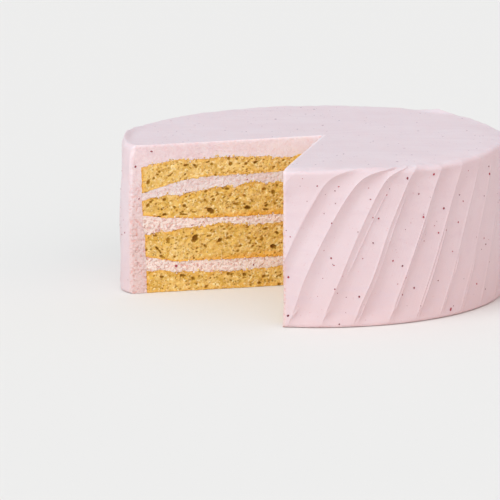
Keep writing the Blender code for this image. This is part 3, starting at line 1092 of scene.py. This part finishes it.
def fleck_material(name, first, second):
    nodes = Nodes(bpy.data.materials.new(name))
    shade = nodes.add("ShaderNodeNewGeometry").outputs["Random Per Island"]
    colour = nodes.mix(shade, srgb(first), srgb(second))
    mottle = nodes.tint(nodes.times(nodes.noise(0.3, 2), 0.7), colour, first)
    return nodes.finish(mottle, nodes.bump(nodes.noise(0.25, 2), 0.3, 0.2), FLECK_SURFACE)


# Flecks and crumbs

def blob_shape():
    """The points and faces of one small ball."""
    ball = bmesh.new()
    bmesh.ops.create_icosphere(ball, subdivisions=2, radius=1.0)
    points = np.array([v.co for v in ball.verts])
    faces = np.array([[v.index for v in f.verts] for f in ball.faces])
    ball.free()
    return points, faces


def scatter_blobs(name, places, generator, material, flatness):
    """One mesh of small uneven blobs, each (point, outward direction, size)."""
    ball, ball_faces = blob_shape()
    points, faces = [], []
    for number, (point, normal, size) in enumerate(places):
        normal = np.array(normal) / np.linalg.norm(normal)
        level = np.cross(normal, (0.3, 0.2, 0.93))
        level = level / np.linalg.norm(level)
        turn = generator.uniform(0, math.tau)
        other = np.cross(normal, level)
        first = level * math.cos(turn) + other * math.sin(turn)
        second = np.cross(normal, first)
        where = ball[:, 0] * 1.3 + number * 9.1
        lumps = 1 + 0.35 * noise(where, ball[:, 1] * 1.3 + ball[:, 2], 400)
        shaped = ball * lumps[:, None]
        wide = size * generator.uniform(0.6, 1.0)
        blob = shaped[:, :1] * first * size + shaped[:, 1:2] * second * wide
        blob = blob + shaped[:, 2:] * normal * size * flatness
        faces.append(ball_faces + len(ball) * number)
        points.append(blob + point)
    made = mesh_object(name, np.concatenate(points), np.concatenate(faces).tolist())
    made.data.materials.append(material)
    made.data.shade_smooth()
    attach(made, "root")
    return made


def side_place(angle, height):
    share = height / CAKE_HEIGHT
    stroke, across = stroke_at(angle, share)
    radius = float(side_radius(stroke, across, share, angle))
    x, y = radius * math.cos(angle), radius * math.sin(angle)
    return (x, y, float(settled(x, y, height))), (math.cos(angle), math.sin(angle), 0.0)


def top_place(x, y):
    return (x, y, float(top_height(x, y))), (0.0, 0.0, 1.0)


def cut_place(side, out, height):
    x, y = polar(out, CUTS[side])
    normal = CUT_NORMALS[side]
    proud = float(cream_face(out, height, side))
    return (x + proud * normal[0], y + proud * normal[1], height), tuple(normal)


def in_slice(x, y, margin):
    """Whether a place on the plan lies in the missing slice, or this close to it."""
    offset = np.array((x, y, 0.0)) - np.array((*SLICE_POINT, 0.0))
    return min(offset @ CUT_NORMALS[0], offset @ CUT_NORMALS[1]) > -margin


def fleck_size(generator, smallest, largest):
    return (smallest + (largest - smallest) * generator.random() ** 2.5) * MM


def coat_flecks(material):
    """Red fruit flecks in the coat's side and on its cut faces."""
    generator = random.Random(RANDOM_SEED)
    places = []
    for degrees, height, size in SEEN_SIDE_FLECKS:
        point, normal = side_place(math.radians(degrees), height * MM)
        places.append((point, normal, SEEN_FLECK_SCALE * size * MM))
    while len(places) < SIDE_FLECKS:
        angle, height = generator.uniform(0, math.tau), generator.uniform(2, 89) * MM
        point, normal = side_place(angle, height)
        if not in_slice(point[0], point[1], 1.5 * MM):
            places.append((point, normal, fleck_size(generator, 0.26, 0.68)))
    for out, height, size in SEEN_CUT_FLECKS:
        point, normal = cut_place(0, out * MM, height * MM)
        places.append((point, normal, SEEN_FLECK_SCALE * size * MM))
    places += cut_flecks(generator, 0, 14, 0.30) + cut_flecks(generator, 1, 28, 0.55)
    return scatter_blobs("fruit_flecks", places, generator, material, 0.45)


def top_flecks(material):
    """Faint flecks that lie just under the top's surface."""
    generator = random.Random(RANDOM_SEED + 1)
    places = []
    while len(places) < TOP_FLECKS:
        angle, out = generator.uniform(0, math.tau), math.sqrt(generator.random()) * 113 * MM
        x, y = out * math.cos(angle), out * math.sin(angle)
        if not in_slice(x, y, 1.5 * MM):
            places.append((*top_place(x, y), fleck_size(generator, 0.28, 0.75)))
    return scatter_blobs("top_flecks", places, generator, material, 0.2)


def cut_flecks(generator, side, count, largest):
    """Flecks in the buttercream and the fillings on one cut face."""
    found = []
    while len(found) < count:
        out, height = generator.uniform(8, 118) * MM, generator.uniform(1, 91) * MM
        if in_cream(out, height, CUTS[side]):
            point, normal = cut_place(side, out, height)
            found.append((point, normal, fleck_size(generator, 0.18, largest)))
    return found


def in_cream(out, height, direction):
    """Whether a place on a cut face is buttercream, and a little inside its edges."""
    x, y = polar(out, direction)
    margin = 0.6 * MM
    if math.hypot(x, y) > CAKE_RADIUS - 6 * MM or height > leaned(x, CAKE_HEIGHT) - margin:
        return False
    if out > core_reach(direction, height) + margin:
        return True
    levels = [float(level_height(i, x, y)) for i in range(-1, len(LEVELS))]
    fillings = zip(levels[1:6:2], levels[2:7:2])
    within = any(low + margin < height < high - margin for low, high in fillings)
    return within or height > levels[7] + margin


def boundary_place(side, index, out, above):
    """The place on a cut face that is this far above one of the layers' boundaries."""
    level = float(level_height(index, *polar(out, CUTS[side])))
    return cut_place(side, out, level + above)


def torn_edges(sponge, filling):
    """Crumbs pulled into the buttercream and buttercream smeared on the crumb, beside
    every boundary between a sponge layer and a filling."""
    generator = random.Random(RANDOM_SEED + 2)
    crumbs, smears = [], []
    for side in (0, 1):
        for index in range(len(LEVELS)):
            sponge_below = LEVELS[index][0].startswith("sponge")
            count, upward = (CRUMBS_ABOVE_SPONGE, 1) if sponge_below else (CRUMBS_BELOW_SPONGE, -1)
            for _ in range(count):
                out = generator.uniform(6, 108) * MM
                above = upward * (1.1 * generator.random() ** 2 - 0.2) * MM
                place = boundary_place(side, index, out, above)
                crumbs.append((*place, fleck_size(generator, 0.28, 0.85)))
                place = boundary_place(side, index, generator.uniform(6, 108) * MM, -above)
                smears.append((*place, fleck_size(generator, 0.25, 0.75)))
    scatter_blobs("torn_crumbs", crumbs, generator, sponge, 0.6)
    scatter_blobs("cream_smears", smears, generator, filling, 0.6)


# The picture: camera, floor and light

def place_camera():
    """The camera where the photo was taken from, for a 500 by 500 picture."""
    distance = 1.68
    elevation = math.radians(11.148)
    turn = math.radians(-1.373)
    tilt = math.radians(12.011)
    focal_pixels = 2706
    picture_pixels = 500
    camera_data = bpy.data.cameras.new("photo_camera")
    camera = bpy.data.objects.new("photo_camera", camera_data)
    bpy.context.scene.collection.objects.link(camera)
    camera_data.sensor_fit = "HORIZONTAL"
    camera_data.sensor_width = 36
    camera_data.lens = focal_pixels / picture_pixels * camera_data.sensor_width
    camera_data.clip_start = 0.05
    camera_data.clip_end = 60
    back = distance * math.cos(elevation)
    up = distance * math.sin(elevation) + CAKE_HEIGHT / 2
    camera.location = (0.0, -back, up)
    forward = Vector((
        math.sin(turn) * math.cos(tilt),
        math.cos(turn) * math.cos(tilt),
        -math.sin(tilt),
    ))
    camera.rotation_euler = forward.to_track_quat("-Z", "Y").to_euler()
    bpy.context.scene.camera = camera


def place_floor():
    plane = bmesh.new()
    bmesh.ops.create_grid(plane, x_segments=8, y_segments=8, size=14)
    mesh = bpy.data.meshes.new("floor")
    plane.to_mesh(mesh)
    plane.free()
    floor = bpy.data.objects.new("floor", mesh)
    floor.location.z = -0.2 * MM
    bpy.context.scene.collection.objects.link(floor)
    nodes = Nodes(bpy.data.materials.new("floor"))
    nodes.put(nodes.shader.inputs["Base Color"], nodes.mix(nodes.noise(900, 1), *FLOOR_TONES))
    for name, value in FLOOR_SURFACE.items():
        nodes.shader.inputs[name].default_value = value
    mesh.materials.append(nodes.owner)


def sun(name, strength, spread_degrees, direction, colour=(1, 1, 1)):
    data = bpy.data.lights.new(name, "SUN")
    data.energy = strength
    data.angle = math.radians(spread_degrees)
    data.color = colour
    lamp = bpy.data.objects.new(name, data)
    lamp.rotation_euler = Vector(direction).to_track_quat("-Z", "Y").to_euler()
    bpy.context.scene.collection.objects.link(lamp)


def soft_world():
    """Soft light from all round: cool from above and warm from the sides."""
    nodes = Nodes(bpy.data.worlds.new("studio"))
    direction = nodes.add("ShaderNodeTexCoord").outputs["Generated"]
    up = nodes.add("ShaderNodeSeparateXYZ", {"Vector": direction}).outputs["Z"]
    background = nodes.tree.nodes["Background"]
    colour = nodes.mix(nodes.ramp(up, 0.05, 0.85), WARM_SIDES, COOL_ABOVE)
    nodes.put(background.inputs["Color"], colour)
    nodes.put(background.inputs["Strength"], WORLD_STRENGTH)
    bpy.context.scene.world = nodes.owner


def place_light():
    soft_world()
    sun("key", 1.65, 40, (0.504, 0.458, -0.733), (0.87, 1.05, 1.08))
    sun("front", 0.6, 70, (0.05, 1.0, -0.35), (1.0, 0.97, 0.95))
    sun("right", 0.56, 90, (-0.8, 0.5, -0.3), (1.0, 0.68, 0.62))
    bpy.context.scene.view_settings.view_transform = "Standard"
    bpy.context.scene.view_settings.look = "None"


def build_cake():
    sponge, filling = sponge_material(), filling_material()
    for index, level in enumerate(LEVELS):
        layer_piece(index, sponge if level[0].startswith("sponge") else filling)
    coat_piece(buttercream_material())
    coat_flecks(fleck_material("fruit_fleck", FLECK_DARK, FLECK_RED))
    top_flecks(fleck_material("deep_fleck", DEEP_FLECK, COAT_DEEP))
    torn_edges(sponge, filling)


build_cake()
place_floor()
place_light()
place_camera()
